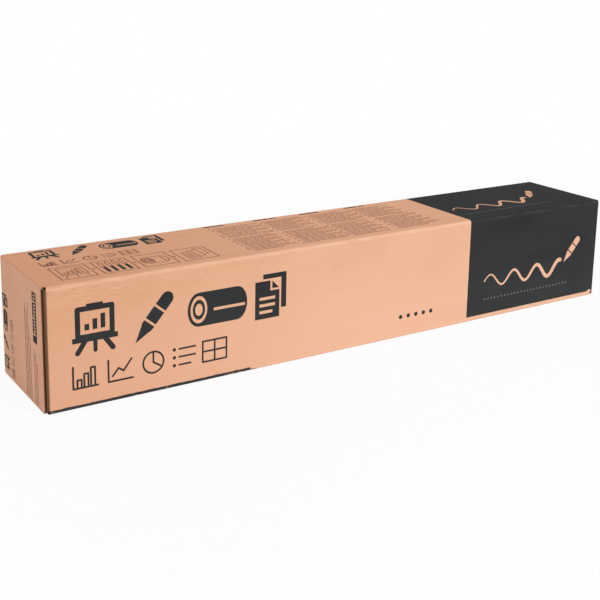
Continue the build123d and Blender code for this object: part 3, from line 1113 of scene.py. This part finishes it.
def paint_kit():
    inks = {"black": (0.018, 0.018, 0.020), "red": (0.50, 0.018, 0.016),
            "blue": (0.015, 0.06, 0.36), "green": (0.012, 0.20, 0.06)}
    core = felt("ink_core_felt", (0.55, 0.55, 0.53))
    for name, tone in inks.items():
        gloss = plastic(name + "_cap_plastic", tone, 0.26, 0.8)
        tip = felt(name + "_nib_felt", [c * 0.8 for c in tone])
        ring_tone = (0.45, 0.45, 0.44) if name == "black" else tone
        for marker in (f"{name}_marker", f"broad_{name}_marker"):
            if marker + "_cap" not in frame["nodes"]:
                continue
            rings = (ring_place(marker), ring_tone)
            charcoal = plastic(marker + "_barrel_plastic", (0.035, 0.037, 0.040), 0.38, 0.5, rings)
            for part, material in (("barrel", charcoal), ("cap", gloss), ("end_plug", gloss),
                                   ("ink_core", core), ("nib", tip)):
                paint(f"{marker}_{part}", material)
    paint("booklet_cover", cover_card())
    paint("booklet_pages", sheet_edges("page_edges", lambda n: n.axis(1)))
    band = fibrous("brown_band_paper", (1.2, 5, 5), (0.37, 0.24, 0.14), (0.52, 0.37, 0.24), (0.03, 0.7),
                   detail=4.0, grit=0.65, spread=(0.3, 0.75), roughness=0.75, specular=0.25)
    for side in ("left", "right"):
        paint(side + "_roll_band", band)


def paper_roll():
    """The rolled sheets. The outermost has a free edge, and at the ends each stands out by its own amount."""
    low, high = box_mm("paper_roll")
    centre_y, centre_z = (low.y + high.y) / 2, (low.z + high.z) / 2
    outer, half = (high.y - low.y) / 2, high.x
    bore = min(hypot(v.co.y / MM - centre_y, v.co.z / MM - centre_z)
               for v in frame["nodes"]["paper_roll"].data.vertices)
    rng = Random(4)

    def end_rings(way):
        """The sheets' edges at one end, as (radius, x), from the bore outward."""
        return [(bore + (outer - bore) * k / ROLL_TURNS,
                 way * (half - rng.uniform(0.0, SHEET_SLIP) - SHEET_SLIP * (k % 2)))
                for k in range(ROLL_TURNS + 1)]

    profile = end_rings(-1) + end_rings(1)[::-1]
    n = len(profile)
    stations = [tau * j / ROLL_STATIONS for j in range(ROLL_STATIONS)] + [tau - FREE_EDGE_RAMP / outer]
    points, blank = [], []
    for turn in stations:
        angle = turn + FREE_EDGE_TURN
        outside = outer - FREE_EDGE * turn / tau
        for radius, x in profile:
            r = min(radius, outside)
            points.append(Vector((x, centre_y + r * cos(angle), centre_z + r * sin(angle))))
            blank.append((x, r * turn))
    faces, slots = [], []
    for j, after in around(list(range(len(stations)))):
        for i, k in around(list(range(n))):
            faces.append([j * n + i, after * n + i, after * n + k, j * n + k])
            slots.append(0 if i in (ROLL_TURNS, n - 1) else 1)  # the outside and the bore, or an end
    piece = Piece()
    piece.shell(points, faces, slots, blank)
    ends = sheet_edges("rolled_sheet_edges", lambda n: from_line(n, (1, centre_y), (2, centre_z)))
    made = piece.finished("paper_roll_sheets", [flipchart_paper(), ends], own_normals=False)
    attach(made, "paper_roll")
    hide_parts("paper_roll")


# ==== stage, light and camera ====

def white_to_camera(n, shader, kind, output, share=1.0):
    """Shows plain white to camera, glossy and transmission rays, in the given share, over the shader."""
    seen = n.add("LightPath", output="Is Camera Ray")
    for ray in ("Is Glossy Ray", "Is Transmission Ray"):
        seen = n.math("MAXIMUM", seen, n.add("LightPath", output=ray))
    white = n.add(kind, {"Color": (1, 1, 1), "Strength": 1.0})
    mixed = n.add("MixShader", {0: n.times(seen, share), 1: n.tree.nodes[shader].outputs[0], 2: white})
    n.put(n.tree.nodes[output].inputs[0], mixed)


def floor():
    """A pale floor. Round the carton it takes the shadow, and further off it is plain white."""
    mesh = bpy.data.meshes.new("studio_floor")
    corners = rect(-FLOOR_HALF, -FLOOR_HALF, FLOOR_HALF, FLOOR_HALF)
    mesh.from_pydata([(x, y, 0) for x, y in corners], [], [(0, 1, 2, 3)])
    made = linked("studio_floor", mesh)
    made.location.z = -FLOOR_DROP
    n = Nodes("pale_floor", (0.92, 0.92, 0.92))
    away = n.add("VectorMath", {0: n.place}, output="Value", operation="LENGTH")
    white_to_camera(n, "Principled BSDF", "Emission", "Material Output", n.ramp(away, 0.45, 1.3, 0.92, 1.0))
    mesh.materials.append(n.shader(0.9, 0.5))


def world():
    made = bpy.data.worlds.new("studio")
    bpy.context.scene.world = made
    n = Nodes("studio", holder=made)
    n.fill(n.tree.nodes["Background"], {"Color": (1, 1, 1), "Strength": WORLD_LIGHT})
    white_to_camera(n, "Background", "Background", "World Output")


def area_light(name, at, aim, size, power):
    """A square light, turned to the carton's middle line at x = aim."""
    data = bpy.data.lights.new(name, "AREA")
    data.shape, data.size, data.energy = "SQUARE", size, power
    made = linked(name, data)
    made.location = at
    made.rotation_euler = (Vector((aim, 0, 0.06)) - Vector(at)).to_track_quat("-Z", "Y").to_euler()


def camera():
    data = bpy.data.cameras.new("camera")
    data.lens, data.sensor_width, data.shift_y = CAMERA_LENS, 36.0, CAMERA_SHIFT
    made = linked("camera", data)
    azimuth, elevation, roll = map(radians, CAMERA_TURNS)
    flat = cos(elevation)
    back = Vector((sin(azimuth) * flat, -cos(azimuth) * flat, sin(elevation)))
    made.rotation_mode = "QUATERNION"
    made.rotation_quaternion = (-back).to_track_quat("-Z", "Y") @ Quaternion((0, 0, 1), roll)
    made.location = CAMERA_AT
    bpy.context.scene.camera = made


camera()
build_carton()
paper_roll()
paint_kit()
floor()
world()
area_light("key_light", (1.2, -2.2, 1.5), 0.1, 1.6, 46.5)
area_light("left_fill", (-2.6, -0.5, 0.7), -0.3, 1.4, 13)
area_light("top_light", (0, 0.3, 2.4), 0, 1.6, 4)
area_light("back_fill", (0, 2.7, 0.9), 0, 1.6, 18)
bpy.context.scene.view_settings.view_transform = "Standard"
